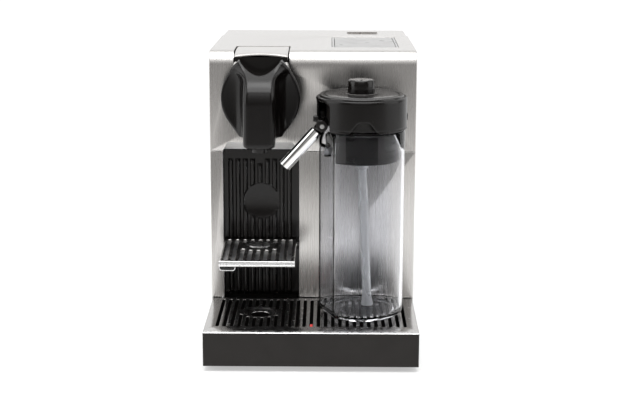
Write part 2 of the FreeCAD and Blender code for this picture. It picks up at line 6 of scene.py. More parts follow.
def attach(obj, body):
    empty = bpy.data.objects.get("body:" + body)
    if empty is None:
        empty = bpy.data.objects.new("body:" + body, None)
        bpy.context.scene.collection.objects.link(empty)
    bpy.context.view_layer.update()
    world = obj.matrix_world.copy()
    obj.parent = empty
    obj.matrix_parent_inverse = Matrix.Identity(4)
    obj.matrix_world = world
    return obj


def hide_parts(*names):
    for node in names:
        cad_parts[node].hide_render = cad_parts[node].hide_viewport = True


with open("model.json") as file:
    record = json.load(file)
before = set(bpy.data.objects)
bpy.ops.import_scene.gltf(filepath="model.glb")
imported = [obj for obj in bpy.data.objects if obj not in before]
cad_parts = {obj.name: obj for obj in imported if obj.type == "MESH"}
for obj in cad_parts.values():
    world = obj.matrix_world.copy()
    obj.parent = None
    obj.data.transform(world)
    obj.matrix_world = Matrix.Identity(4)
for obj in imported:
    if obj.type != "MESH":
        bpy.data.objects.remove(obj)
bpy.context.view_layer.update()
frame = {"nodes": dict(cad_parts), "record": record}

MM = 0.001
scene = bpy.context.scene


# ------------------------------------------------------------------ materials
def mat(name, color, rough=0.5, metal=0.0, alpha=None, **kw):
    m = bpy.data.materials.new(name)
    m.use_nodes = True
    b = m.node_tree.nodes["Principled BSDF"]
    b.inputs["Base Color"].default_value = (*color, 1.0)
    b.inputs["Roughness"].default_value = rough
    b.inputs["Metallic"].default_value = metal
    for k, v in kw.items():
        b.inputs[k.replace("_", " ")].default_value = v
    return m


def nd(m, kind, **kw):
    n = m.node_tree.nodes.new(kind)
    for k, v in kw.items():
        setattr(n, k, v)
    return n


def link(m, a, b):
    m.node_tree.links.new(a, b)


def coords(m, scale):
    """Object coordinates stretched by a scale for each axis."""
    tc = nd(m, "ShaderNodeTexCoord")
    mp = nd(m, "ShaderNodeMapping")
    mp.inputs["Scale"].default_value = scale
    link(m, tc.outputs["Object"], mp.inputs["Vector"])
    return mp.outputs["Vector"]


def noise(m, scale, size=1.0, detail=2.0, rough=0.5):
    n = nd(m, "ShaderNodeTexNoise")
    link(m, coords(m, scale), n.inputs["Vector"])
    n.inputs["Scale"].default_value = size
    n.inputs["Detail"].default_value = detail
    n.inputs["Roughness"].default_value = rough
    return n.outputs["Fac"]


def ramp(m, fac, lo, hi, a=0.3, b=0.7):
    r = nd(m, "ShaderNodeMapRange")
    link(m, fac, r.inputs["Value"])
    r.inputs["From Min"].default_value = a
    r.inputs["From Max"].default_value = b
    r.inputs["To Min"].default_value = lo
    r.inputs["To Max"].default_value = hi
    return r.outputs["Result"]


def tint(m, fac, c0, c1):
    r = nd(m, "ShaderNodeValToRGB")
    r.color_ramp.elements[0].position = 0.3
    r.color_ramp.elements[1].position = 0.7
    r.color_ramp.elements[0].color = (*c0, 1)
    r.color_ramp.elements[1].color = (*c1, 1)
    link(m, fac, r.inputs["Fac"])
    return r.outputs["Color"]


def bump(m, fac, strength, dist):
    b = nd(m, "ShaderNodeBump")
    b.inputs["Strength"].default_value = strength
    b.inputs["Distance"].default_value = dist
    link(m, fac, b.inputs["Height"])
    return b.outputs["Normal"]


def bsdf(m):
    return m.node_tree.nodes["Principled BSDF"]


def brushed(name, color, rough, along, grain=1.0):
    """Brushed steel with its grain along one axis."""
    m = mat(name, color, rough, 1.0)
    s = [2600.0, 2600.0, 2600.0]
    s[along] = 9.0
    f = noise(m, s, 1.0, 3.0, 0.6)
    s2 = [420.0, 420.0, 420.0]
    s2[along] = 4.0
    f2 = noise(m, s2, 1.0, 2.0)
    link(m, tint(m, f2, [c * 0.985 for c in color], [min(1, c * 1.012) for c in color]), bsdf(m).inputs["Base Color"])
    link(m, ramp(m, f, rough - 0.015, rough + 0.02), bsdf(m).inputs["Roughness"])
    link(m, bump(m, f, 0.10 * grain, 0.00004), bsdf(m).inputs["Normal"])
    return m


def plastic(name, color, rough, grain=0.0, size=900.0, var=0.08, **kw):
    """Moulded plastic: a faint colour drift, uneven gloss and, where it has one, a fine spark-eroded grain."""
    m = mat(name, color, rough, 0.0, **kw)
    drift = noise(m, (35, 35, 35), 1.0, 3.0)
    link(m, tint(m, drift, [c * (1 - var) for c in color], [c * (1 + var) for c in color]), bsdf(m).inputs["Base Color"])
    fine = noise(m, (size, size, size), 1.0, 2.0)
    link(m, ramp(m, noise(m, (60, 60, 60), 1.0, 2.0), max(0.02, rough * 0.85), rough * 1.15), bsdf(m).inputs["Roughness"])
    if grain:
        link(m, bump(m, fine, grain, 0.00006), bsdf(m).inputs["Normal"])
    return m


def polished(name, color, rough):
    m = mat(name, color, rough, 1.0)
    f = noise(m, (160, 160, 160), 1.0, 3.0)
    link(m, ramp(m, f, rough * 0.7, rough * 1.4), bsdf(m).inputs["Roughness"])
    link(m, tint(m, f, [c * 0.97 for c in color], [min(1, c * 1.02) for c in color]), bsdf(m).inputs["Base Color"])
    return m


def clear(name, color, rough, ior=1.49):
    m = mat(name, color, rough, 0.0, IOR=ior)
    bsdf(m).inputs["Transmission Weight"].default_value = 1.0
    bsdf(m).inputs["Specular Tint"].default_value = (0.22, 0.22, 0.23, 1)
    f = noise(m, (30, 30, 12), 1.0, 2.0)
    link(m, ramp(m, f, rough * 0.6, rough * 1.5 + 0.004), bsdf(m).inputs["Roughness"])
    return m


STEEL = brushed("brushed_steel_front", (0.585, 0.57, 0.555), 0.27, 2, 0.12)
STEEL_TOP = brushed("brushed_steel_top", (0.60, 0.585, 0.57), 0.30, 1)
STEEL_SIDE = brushed("brushed_steel_side", (0.58, 0.57, 0.56), 0.34, 2)
POLISH = polished("polished_steel", (0.72, 0.70, 0.68), 0.07)
CHROME = polished("chrome", (0.86, 0.86, 0.85), 0.05)
GLOSS = plastic("black_gloss", (0.0055, 0.0045, 0.0040), 0.16, var=0.05, Specular_IOR_Level=0.32)
LID_BLACK = plastic("lid_black", (0.0045, 0.0038, 0.0035), 0.25, 0.04, 1400, Specular_IOR_Level=0.25)
LID_TOP = plastic("lid_top_black", (0.010, 0.009, 0.0085), 0.22, 0.03, 1400, Specular_IOR_Level=0.45)
FLANK = plastic("plug_flank", (0.020, 0.018, 0.017), 0.45, 0.05, 1400, Specular_IOR_Level=0.3)
PLUG_DARK = plastic("plug_dark", (0.0022, 0.0018, 0.0016), 0.3, 0.02, 1400, Specular_IOR_Level=0.12)
BLACK = plastic("black_satin", (0.010, 0.0088, 0.008), 0.34, 0.10, Specular_IOR_Level=0.38)
DARK = plastic("dark_grey_matte", (0.0135, 0.0115, 0.0102), 0.5, 0.22, 1300, Specular_IOR_Level=0.28)
PANEL = plastic("panel_grey", (0.22, 0.218, 0.216), 0.32, 0.03, 1600, var=0.02, Specular_IOR_Level=0.45)
# Capsule scoop: a much lighter copy of the brushed steel. This is painted light, so the small sloped plate reads
# bright although it sits in shade.
SCOOP_PAINTED_LIGHT = brushed("brushed_steel_scoop_painted_light", (0.86, 0.855, 0.85), 0.5, 0, 0.5)
RED = plastic("red_float", (0.55, 0.035, 0.03), 0.22)
RUBBER = plastic("rubber", (0.02, 0.02, 0.02), 0.7, 0.2, 1200)
GREY = plastic("grey_plastic", (0.28, 0.28, 0.28), 0.45, 0.1)
KNOB_TOP = plastic("knob_top", (0.055, 0.052, 0.05), 0.28, var=0.03, Specular_IOR_Level=0.22)
BOARD = plastic("board_green", (0.03, 0.16, 0.07), 0.35)
ALU = brushed("cast_aluminium", (0.55, 0.56, 0.57), 0.45, 0, 2.0)
BRASS = polished("brass", (0.70, 0.52, 0.26), 0.25)
MACH = polished("machined_steel", (0.55, 0.55, 0.55), 0.22)
CLEAR = clear("clear_container", (0.945, 0.952, 0.972), 0.006, 1.36)
FROST = clear("frosted_tube", (0.93, 0.94, 0.955), 0.35, 1.40)
bsdf(FROST).inputs["Transmission Weight"].default_value = 0.72
GRID = polished("grid_steel", (0.50, 0.49, 0.48), 0.2)
EDGE = polished("grid_edge_steel", (0.62, 0.62, 0.62), 0.26)
LEVER = plastic("lever_black", (0.003, 0.0024, 0.0022), 0.22, 0.03, 1500, var=0.05, Specular_IOR_Level=0.3)
CHANNEL = polished("channel_steel", (0.30, 0.30, 0.305), 0.38)
SMOKE = clear("smoked_tank", (0.42, 0.43, 0.44), 0.03)
SLOT_MAT = {
    "brushed_steel": STEEL, "steel_side": STEEL_SIDE, "polished_steel": POLISH, "chrome": CHROME, "black_gloss": GLOSS,
    "black_matte": BLACK, "dark_grey": DARK, "panel_grey": PANEL, "clear_plastic": CLEAR, "smoke_plastic": SMOKE,
    "red_plastic": RED, "rubber": RUBBER, "steel": MACH, "cast_aluminium": ALU, "brass": BRASS, "board_green": BOARD,
    "grey_plastic": GREY, "knob_grey": KNOB_TOP,
}
node_slot = {s["node"]: s["material_slot"] for s in frame["record"]["subparts"]}
for name, o in frame["nodes"].items():
    # The capsule scoop takes the lighter copy of the steel, which has painted light in its colour.
    m = SCOOP_PAINTED_LIGHT if name == "capsule_scoop" else SLOT_MAT[node_slot[name]]
    if not o.data.materials:
        o.data.materials.append(m)
    for i in range(len(o.material_slots)):
        o.material_slots[i].material = m


def cad_bevel(node, width, segments=2, angle=40):
    o = frame["nodes"][node]
    b = o.modifiers.new("edge", "BEVEL")
    b.width = width * MM
    b.segments = segments
    b.limit_method = "ANGLE"
    b.angle_limit = math.radians(angle)
    b.harden_normals = False


# ------------------------------------------------------------------ mesh tools (all in millimetres)
def add(name, verts, faces, m, body, rep=(), sharp=32, mods=()):
    me = bpy.data.meshes.new(name)
    me.from_pydata([tuple(float(c) * MM for c in v) for v in verts], [], [list(f) for f in faces])
    return add_mesh(name, me, m, body, rep, sharp, mods)


def add_mesh(name, me, m, body, rep=(), sharp=32, mods=()):
    me.validate()
    bm = bmesh.new()
    bm.from_mesh(me)
    bmesh.ops.remove_doubles(bm, verts=bm.verts, dist=1e-7)
    bmesh.ops.recalc_face_normals(bm, faces=bm.faces)
    bm.to_mesh(me)
    bm.free()
    me.materials.clear()
    for x in (m if isinstance(m, (list, tuple)) else [m]):
        me.materials.append(x)
    me.shade_smooth()
    me.set_sharp_from_angle(angle=math.radians(sharp))
    o = bpy.data.objects.new(name, me)
    scene.collection.objects.link(o)
    for kind, kw in mods:
        md = o.modifiers.new(kind.lower(), kind)
        for k, v in kw.items():
            setattr(md, k, v)
    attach(o, body)
    if rep:
        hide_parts(*rep)
    return o


def bev(width, seg=3, angle=35):
    return ("BEVEL", dict(width=width * MM, segments=seg, limit_method="ANGLE", angle_limit=math.radians(angle)))


def rrect(x0, x1, y0, y1, r, n=6):
    """Closed outline of a rectangle with round corners; r is one radius or four (from low-low, anticlockwise)."""
    rr = [r] * 4 if not isinstance(r, (list, tuple)) else r
    out = []
    for (cx, cy, a0), q in zip(((x0, y0, 180), (x1, y0, 270), (x1, y1, 0), (x0, y1, 90)), rr):
        sx, sy = (1 if cx == x0 else -1), (1 if cy == y0 else -1)
        if q <= 0:
            out.append((cx, cy))
            continue
        for k in range(n + 1):
            a = math.radians(a0 + 90.0 * k / n)
            out.append((cx + sx * q + q * math.cos(a), cy + sy * q + q * math.sin(a)))
    return out


def oval_pts(cx, cy, a, b, n=96):
    return [(cx + a * math.cos(2 * math.pi * k / n), cy + b * math.sin(2 * math.pi * k / n)) for k in range(n)]


def plate_mesh(name, outer, holes, lo, hi, edge=0.3, plane="xy", res=2):
    """Flat plate with holes and rounded edges, from a filled outline."""
    cu = bpy.data.curves.new(name + "_c", "CURVE")
    cu.dimensions = "2D"
    cu.fill_mode = "BOTH"
    cu.extrude = max((hi - lo) / 2 - edge, 1e-6)
    cu.bevel_depth = edge
    cu.bevel_resolution = res
    cu.offset = -edge
    for loop in [outer] + list(holes):
        sp = cu.splines.new("POLY")
        sp.points.add(len(loop) - 1)
        for p, q in zip(sp.points, loop):
            p.co = (q[0], q[1], 0, 1)
        sp.use_cyclic_u = True
    o = bpy.data.objects.new(name + "_c", cu)
    scene.collection.objects.link(o)
    bpy.context.view_layer.update()
    me = bpy.data.meshes.new_from_object(o.evaluated_get(bpy.context.evaluated_depsgraph_get()))
    bpy.data.objects.remove(o)
    mid = (lo + hi) / 2
    for v in me.vertices:
        x, y, z = v.co
        z += mid
        v.co = Vector((x, y, z) if plane == "xy" else (x, z, y) if plane == "xz" else (z, x, y)) * MM
    me.name = name
    return me


def lathe(profile, n=64, axis=((0, 0, 0), (0, 0, 1)), closed=False):
    """Ring surface: profile is (radius, distance along the axis)."""
    o, d = Vector(axis[0]), Vector(axis[1]).normalized()
    u = d.orthogonal().normalized()
    w = d.cross(u)
    verts, faces = [], []
    m = len(profile)
    for r, t in profile:
        for k in range(n):
            a = 2 * math.pi * k / n
            verts.append(o + d * t + (u * math.cos(a) + w * math.sin(a)) * r)
    for i in range(m if closed else m - 1):
        j = (i + 1) % m
        for k in range(n):
            faces.append((i * n + k, i * n + (k + 1) % n, j * n + (k + 1) % n, j * n + k))
    if not closed:
        for i in (0, m - 1):
            if profile[i][0] > 1e-6:
                faces.append([i * n + k for k in range(n)])
    return verts, faces


def loft(rings, cap=(True, True), closed=False):
    """Surface through rings of equal point count."""
    verts = [p for r in rings for p in r]
    n, m = len(rings[0]), len(rings)
    faces = []
    for i in range(m if closed else m - 1):
        j = (i + 1) % m
        for k in range(n):
            faces.append((i * n + k, i * n + (k + 1) % n, j * n + (k + 1) % n, j * n + k))
    if not closed:
        if cap[0]:
            faces.append(list(range(n))[::-1])
        if cap[1]:
            faces.append([(m - 1) * n + k for k in range(n)])
    return verts, faces


def nets(f, lo, hi, h, iters=5):
    """Quad mesh of the zero level of a distance field, moved onto the surface by Newton steps."""
    ax = [np.arange(lo[i] - 1.5 * h, hi[i] + 2.5 * h, h) for i in range(3)]
    n = [len(a) for a in ax]
    G = np.stack(np.meshgrid(*ax, indexing="ij"), -1)
    D = f(G.reshape(-1, 3)).reshape(n)
    S = D < 0
    cs = [(a, b, c) for a in (0, 1) for b in (0, 1) for c in (0, 1)]

    def sub(A, c):
        return A[c[0]:n[0] - 1 + c[0], c[1]:n[1] - 1 + c[1], c[2]:n[2] - 1 + c[2]]
    tot = sum(sub(S, c).astype(int) for c in cs)
    act = (tot > 0) & (tot < 8)
    idx = -np.ones(act.shape, int)
    idx[act] = np.arange(act.sum())
    acc = np.zeros((act.sum(), 3))
    cnt = np.zeros(act.sum())
    for c in cs:
        for d in range(3):
            if c[d] == 0:
                e = list(c)
                e[d] = 1
                a, b = sub(D, c)[act], sub(D, e)[act]
                ok = (a < 0) != (b < 0)
                t = np.where(ok, a / np.where(ok, a - b, 1), 0)
                pa, pb = sub(G, c)[act], sub(G, e)[act]
                acc += np.where(ok[:, None], pa + t[:, None] * (pb - pa), 0)
                cnt += ok
    P = acc / cnt[:, None]
    e = 0.02
    for _ in range(iters):
        d = f(P)
        g = np.stack([(f(P + np.eye(3)[i] * e) - f(P - np.eye(3)[i] * e)) / (2 * e) for i in range(3)], -1)
        step = d / np.maximum((g * g).sum(1), 0.05)
        P = P - np.clip(step, -0.4 * h, 0.4 * h)[:, None] * g
    faces = []
    for d in range(3):
        a, b = [(1, 2), (2, 0), (0, 1)][d]
        sl0 = [slice(None)] * 3
        sl1 = [slice(None)] * 3
        sl0[d], sl1[d] = slice(0, -1), slice(1, None)
        for q in (a, b):
            sl0[q] = sl1[q] = slice(1, -1)
        s0, s1 = S[tuple(sl0)], S[tuple(sl1)]
        ch = np.argwhere(s0 != s1)
        flip = s0[tuple(ch.T)]
        ch = ch.copy()
        ch[:, a] += 1
        ch[:, b] += 1
        va, vb = np.zeros(3, int), np.zeros(3, int)
        va[a], vb[b] = 1, 1
        quad = np.stack([idx[tuple((ch - o).T)] for o in (va * 0, va, va + vb, vb)], -1)
        quad[~flip] = quad[~flip][:, ::-1]
        faces.append(quad)
    return P, np.concatenate(faces).tolist()


def smin(a, b, k):
    hh = np.clip(0.5 + 0.5 * (b - a) / k, 0, 1)
    return b * (1 - hh) + a * hh - k * hh * (1 - hh)


def smax(a, b, k):
    return -smin(-a, -b, k)


def sd_box(p, lo, hi, r=0.0):
    lo, hi = np.array(lo, float), np.array(hi, float)
    q = np.abs(p - (lo + hi) / 2) - (hi - lo) / 2 + r
    return np.linalg.norm(np.maximum(q, 0), axis=1) + np.minimum(q.max(1), 0) - r


def sd_rod(p, a, b, r):
    """Round bar with flat ends."""
    a, b = np.array(a, float), np.array(b, float)
    d = b - a
    L = np.linalg.norm(d)
    d = d / L
    t = (p - a) @ d
    rad = np.linalg.norm(p - a - t[:, None] * d, axis=1) - r
    ends = np.abs(t - L / 2) - L / 2
    return np.minimum(np.maximum(rad, ends), 0) + np.hypot(np.maximum(rad, 0), np.maximum(ends, 0))


def sd_oval(p, cx, cy, a, b):
    """Rough distance to an upright oval wall."""
    q = np.hypot((p[:, 0] - cx) / a, (p[:, 1] - cy) / b)
    g = np.hypot((p[:, 0] - cx) / a ** 2, (p[:, 1] - cy) / b ** 2) / np.maximum(q, 1e-6)
    return (q - 1) / np.maximum(g, 1e-6)


def sm(x, a, b):
    t = np.clip((x - a) / (b - a), 0, 1)
    return t * t * (3 - 2 * t)


def bisect(me, axis, values):
    bm = bmesh.new()
    bm.from_mesh(me)
    for v in values:
        co = [0, 0, 0]
        no = [0, 0, 0]
        co[axis] = v * MM
        no[axis] = 1
        bmesh.ops.bisect_plane(bm, geom=bm.verts[:] + bm.edges[:] + bm.faces[:], dist=1e-6, plane_co=co, plane_no=no)
    bm.to_mesh(me)
    bm.free()


# ------------------------------------------------------------------ lever
def lever_field(p):
    x, y, z = p[:, 0] + 48.0, p[:, 1], p[:, 2]
    ax = np.abs(x)
    zz = np.where(z < 233.0, (z - 233.0) * 0.955, z - 233.0)
    r = np.hypot(x, zz)
    # Disc with two shallow wings beside the grip.
    dish = 2.0 * np.clip(1 - ((ax - 24.0) / 12.5) ** 2 - (zz / 34.0) ** 2, -0.4, 1)
    core = smax(-(y + 78.6 - np.maximum(dish, 0)) * 0.93, r - 36.5, 2.6)
    core = smax(core, y + 66.0, 1.2)
    # Grip: a rounded bar in front of the disc, flared where it meets the disc's top.
    flare = sm(z, 244.0, 264.0)
    w = 14.7 + 6.5 * flare ** 2
    u = np.clip((z - 230.0) / 25.0, 0, 1.6)
    yf = -110.2 + 16.0 * u ** 2.4 + 0.05 * np.maximum(ax - 10.5, 0) ** 2
    slope = np.sqrt(1 + (38.4 * u ** 1.4 / 25.0) ** 2)
    grip = smax((ax - w) * 0.95, (yf - y) / slope, 6.5)
    grip = smax(grip, 190.2 - z, 5.0)
    yb = -101.2 + 33.2 * sm(z, 196.2, 199.5)
    grip = smax(grip, y - yb, 1.5)
    grip = smax(grip, np.where(z > 226, r - 36.6, -6.0), 1.5)
    body = smin(core, grip, 15.0)
    crease = 255.4 + 9.6 * (np.minimum(ax, 30) / 16.8) ** 2
    body = smax(body, (z - crease) * 0.8, 0.8)
    return smax(body, -(y + 110.5), 0.3)


P, F = nets(lever_field, (-85.6, -110.6, 189.6), (-10.4, -65.6, 270.6), 0.8)
add("lever_face_skin", P, F, LEVER, "lever", ("lever_face",), 60)

# Silver cover on top of the lever's arm, crowned towards its front edge, with a shallow arc line pressed into it.
nx, ny = 49, 41
top, bot = [], []
for j in range(ny):
    for i in range(nx):
        s = -1 + 2 * i / (nx - 1)
        t = j / (ny - 1)
        yy = -66.0 + 56.0 * t + 2.2 * (1 - t) * (s * s)
        zz = 273.7 - 2.6 * (s * s) * (1 - min(1, t * 1.6)) ** 1.3 - 3.2 * max(0, 0.12 - t) ** 2 / 0.0144 * 0.35
        edge = min(1 - abs(s), min(t, 1 - t) * 1.2)
        zz -= 0.55 * max(0, 0.035 - edge) / 0.035
        arc = abs((t - 0.26) - 0.16 * (s * s))
        zz -= 0.5 * math.exp(-(arc / 0.014) ** 2) * (1 if abs(s) < 0.66 else 0)
        top.append((-48 + 24.8 * s, yy, zz))
        bot.append((-48 + 24.8 * s, yy, min(zz - 1.0, 271.5)))
verts = top + bot
N = nx * ny
faces = []
for j in range(ny - 1):
    for i in range(nx - 1):
        a = j * nx + i
        faces.append((a, a + 1, a + 1 + nx, a + nx))
        faces.append((N + a, N + a + nx, N + a + 1 + nx, N + a + 1))
ringi = [i for i in range(nx)] + [j * nx + nx - 1 for j in range(1, ny)] + [(ny - 1) * nx + i for i in range(nx - 2, -1, -1)] + [j * nx for j in range(ny - 2, 0, -1)]
for k in range(len(ringi)):
    a, b = ringi[k], ringi[(k + 1) % len(ringi)]
    faces.append((a, N + a, N + b, b))
add("lever_cover_skin", verts, faces, STEEL_TOP, "lever", ("lever_cover",), 50)
cad_bevel("lever_arm", 1.6, 3)

# ------------------------------------------------------------------ brew bay
RIBS = [-50.45 + 7.0 * (i - 4) for i in range(9)]


def bay_front(x, z):
    """Depth of the ribbed wall: round ribs on a flat back, with a round hollow at cup height."""
    d = np.zeros_like(x)
    for i, c in enumerate(RIBS):
        ztop = 170.6 if i != 4 else 166.0
        e = np.abs(x - c) / 2.35
        rib = 2.9 * np.sqrt(np.clip(1 - e ** 2, 0, 1))
        cap = np.clip((ztop - z) / 2.6, 0, 1)
        rib = rib * np.sqrt(np.clip(1 - (1 - cap) ** 2, 0, 1))
        d = np.maximum(d, rib)
    rr = np.hypot(x + 49.2, z - 130.0)
    bowl = 17.4
    keep = sm(rr, bowl - 0.8, bowl + 0.8)
    d = d * keep - (1 - keep) * 1.5 * np.clip(1 - (rr / bowl) ** 2, 0, 1)
    foot = sm(z, 37.0, 40.5)
    return -44.0 - d * (0.25 + 0.75 * foot)


def wall(name, xs, zs, back, m, body, rep):
    X, Z = np.meshgrid(xs, zs, indexing="ij")
    Y = bay_front(X, Z)
    n, k = X.shape
    fr = np.stack([X, Y, Z], -1).reshape(-1, 3)
    bk = fr.copy()
    bk[:, 1] = back
    N = n * k
    faces = []
    for i in range(n - 1):
        for j in range(k - 1):
            a = i * k + j
            faces.append((a, a + k, a + k + 1, a + 1))
    ring = [i * k for i in range(n)] + [(n - 1) * k + j for j in range(1, k)] + [i * k + k - 1 for i in range(n - 2, -1, -1)] + [j for j in range(k - 2, 0, -1)]
    for q in range(len(ring)):
        a, b = ring[q], ring[(q + 1) % len(ring)]
        faces.append((a, b, N + b, N + a))
    faces.append([N + a for a in ring])
    return add(name, np.concatenate([fr, bk]), faces, m, body, rep, 40)


xs = np.concatenate([[-84.6]] + [np.linspace(c - 2.5, c + 2.5, 13) for c in RIBS] + [[-13.3]])
zs = np.unique(np.concatenate([np.arange(36.9, 112, 1.6), np.arange(112, 149, 0.55), np.arange(149, 163.6, 1.2), [164.1]]))
panel = wall("bay_panel_skin", xs, zs, -41.0, GLOSS, "tray", ())
zs = np.unique(np.concatenate([np.arange(164.3, 172, 0.35), [175, 179.1]]))
wall("bay_header_skin", xs, zs, -42.0, GLOSS, "machine", ("bay_header",))
# Hinge ears of the cup support, at both sides of the ribbed wall.
ear = []
for x0, x1 in ((-84.75, -84.2), (-14.9, -13.3)):
    me = plate_mesh("ear", rrect(-56.2, -42.5, 84, 92, [3.6, 0.4, 0.4, 3.6]), [oval_pts(-52.5, 88, 1.62, 1.62, 24)], x0, x1, 0.25, "yz")
    ear.append(add_mesh("cup_support_ear_%s" % ("left" if x0 < -50 else "right"), me, BLACK, "tray"))
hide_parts("bay_panel")

# ------------------------------------------------------------------ folding cup support
def tilt(me):
    """The deck rises a little towards the wall."""
    for v in me.vertices:
        v.co.z += 2.4 * MM * float(np.clip((v.co.y / MM + 122) / 68, 0, 1))
    return me


slots = []
for i in range(9):
    c = -50 + 7.35 * (i - 4)
    rx = abs(c + 50)
    if rx < 13:
        slots.append(rrect(c - 1.75, c + 1.75, -121.0, -88.0, 1.2))
        slots.append(rrect(c - 1.75, c + 1.75, -57.5, -51.8, 1.2))
    elif rx < 16:
        slots.append(rrect(c - 1.75, c + 1.75, -121.0, -84.0, 1.2))
        slots.append(rrect(c - 1.75, c + 1.75, -62.0, -51.8, 1.2))
    else:
        slots.append(rrect(c - 1.75, c + 1.75, -121.0, -51.8, 1.2))
me = plate_mesh("cup_grate", rrect(-84, -15.4, -125.4, -49.6, [2, 2, 1, 1]), slots, 87.6, 90.6, 0.8, "xy", 3)
bisect(me, 1, [-121.9, -110, -95, -80, -65])
add_mesh("cup_support_grate", tilt(me), GRID, "cup_support", ("cup_support",))
me = plate_mesh("cup_floor", rrect(-83.4, -16.0, -124.8, -50.2, 1.5), [], 86.8, 88.4, 0.3)
bisect(me, 1, [-110, -95, -80, -65])
add_mesh("cup_support_floor", tilt(me), CHANNEL, "cup_support")
# Rim wall below the grate, the round bright plate in its deck and the finger tab under its left front corner.
me = plate_mesh("cup_rim", rrect(-83.6, -15.8, -125.2, -50, 2), [rrect(-81.4, -18.0, -123.2, -55.6, 1.6)], 85.3, 87.0, 0.3)
add_mesh("cup_support_rim", me, BLACK, "cup_support")
verts, faces = loft([[(-50 + a * math.cos(t), -70 + b * math.sin(t), z + 1.85) for t in np.linspace(0, 2 * math.pi, 64, endpoint=False)]
                     for a, b, z in ((10.4, 9.8, 90.1), (10.4, 9.8, 90.7), (9.9, 9.3, 91.05), (8.9, 8.3, 91.05), (7.9, 7.3, 90.75), (0.4, 0.35, 90.7))])
add("cup_support_dish", verts, faces, EDGE, "cup_support", (), 50)
me = plate_mesh("cup_tab", rrect(-83.6, -69.5, 82.2, 86.0, [2.4, 2.4, 0.4, 0.4]), [], -125.8, -122.0, 0.5, "xz", 3)
add_mesh("cup_support_tab", me, BLACK, "cup_support")
me = plate_mesh("cup_tab_rim", rrect(-84.0, -69.1, 81.8, 86.0, [2.6, 2.6, 0.4, 0.4]), [rrect(-83.2, -69.9, 82.6, 86.6, [2.2, 2.2, 0.2, 0.2])], -126.1, -123.0, 0.2, "xz", 3)
add_mesh("cup_support_tab_rim", me, EDGE, "cup_support")
# Chrome lip along the front, with a groove along it.
prof = [(-125.3, 85.9), (-126.2, 86.0), (-126.5, 86.4), (-126.5, 87.4), (-126.2, 87.7), (-125.5, 87.9), (-125.5, 88.9), (-126.2, 89.1), (-126.5, 89.4), (-126.5, 90.3), (-126.1, 90.8)]
prof += [(-125.4, 91.0), (-124.2, 91.0), (-124.2, 90.2), (-124.9, 89.6), (-124.9, 86.2)]
rings = []
for x in np.linspace(-84.2, -15.2, 40):
    rings.append([(x, yy, zz) for yy, zz in prof])
verts, faces = loft(rings)
add("cup_support_lip", verts, faces, EDGE, "cup_support", ("cup_support_trim",), 40)
# ------------------------------------------------------------------ milk carafe: container
JX, JY = 45.3, -100.0
FA, FB = np.array((6.3, -100.0)), np.array((19.5, -131.0))


def jug_ring(a, b, shrink, n=160):
    """Oval outline whose front left is cut flat by a facet; shrink moves the facet inwards with the wall."""
    d = (FB - FA) / np.linalg.norm(FB - FA)
    nrm = np.array((d[1], -d[0]))
    if nrm @ (np.array((JX, JY)) - FA) > 0:
        nrm = -nrm
    off = nrm @ FA - shrink
    out = []
    for k in range(n):
        t = 2 * math.pi * (k + 0.5) / n
        v = np.array((a * math.cos(t), b * math.sin(t)))
        c = np.array((JX, JY))
        s = nrm @ v
        if s > 0:
            lim = (off - nrm @ c) / s
            lim = min(1.0, lim)
            v = v * lim
        out.append(c + v)
    return out


def jug_at(a, b, shrink, z, top=False):
    pts = []
    for x, y in jug_ring(a, b, shrink):
        zz = z
        if top:
            m = (1 - sm(np.array([x]), 16.5, 19.0)[0]) * sm(np.array([y]), -116.0, -114.0)[0] * (1 - sm(np.array([y]), -98.2, -96.4)[0])
            zz = z - 12.5 * m
        pts.append((x, y, zz))
    return pts


A, B = 38.9, 41.4
rings = [jug_at(A - 9.0, B - 9.0, 8.6, 39.9), jug_at(A - 7.2, B - 7.2, 6.9, 38.4), jug_at(A - 3.4, B - 3.4, 3.3, 38.05), jug_at(A - 1.6, B - 1.6, 1.55, 38.7),
         jug_at(A - 0.45, B - 0.45, 0.45, 40.2), jug_at(A, B, 0, 42.6), jug_at(A, B, 0, 80), jug_at(A, B, 0, 130), jug_at(A, B, 0, 190)]
rings += [jug_at(A, B, 0, 207.6, True), jug_at(A - 0.5, B - 0.5, 0.5, 208.4, True), jug_at(A - 1.7, B - 1.7, 1.7, 208.4, True), jug_at(A - 2.2, B - 2.2, 2.2, 207.6, True)]
rings += [jug_at(A - 2.2, B - 2.2, 2.2, 190), jug_at(A - 2.2, B - 2.2, 2.2, 130), jug_at(A - 2.2, B - 2.2, 2.2, 80), jug_at(A - 2.3, B - 2.3, 2.3, 45.5), jug_at(A - 2.7, B - 2.7, 2.7, 43.2),
          jug_at(A - 3.8, B - 3.8, 3.8, 42.0), jug_at(A - 6.5, B - 6.5, 6.4, 41.3), jug_at(A - 20, B - 20, 18, 41.1), jug_at(A - 34, B - 34, 32, 41.0)]
verts, faces = loft(rings, (False, False))
n = 160
faces.append([k for k in range(n)])
faces.append([(len(rings) - 1) * n + k for k in range(n)])
add("container_shell", verts, faces, CLEAR, "carafe", ("milk_container",), 35)

# ------------------------------------------------------------------ milk carafe: lid
LX = 44.5


